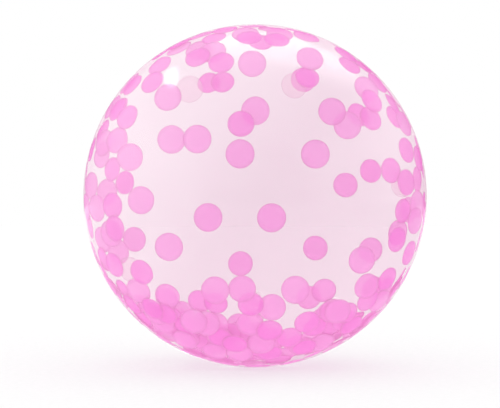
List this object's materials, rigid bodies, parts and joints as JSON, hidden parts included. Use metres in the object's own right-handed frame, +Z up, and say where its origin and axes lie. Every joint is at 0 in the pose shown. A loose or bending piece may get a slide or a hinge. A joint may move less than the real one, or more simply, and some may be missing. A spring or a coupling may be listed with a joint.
{
  "type": "clear bubble balloon",
  "caption": "Full round bubble balloon of clear stretch film, sealed at a gathered neck with a flat tail, with loose round paper confetti inside.",
  "frame": {"origin": "middle of the small flat patch that the balloon lies on, straight under the ball's centre", "axes": "+Z up; the gathered neck and its tail point towards +Y and down, so the front of the ball faces -Y"},
  "size_m": [0.457, 0.457, 0.4553],
  "materials": {
    "bubble_film": "polished",
    "confetti": "matte"
  },
  "bodies": {
    "root": {"bubble_film": "bubble_film"}
  },
  "joints": []
}
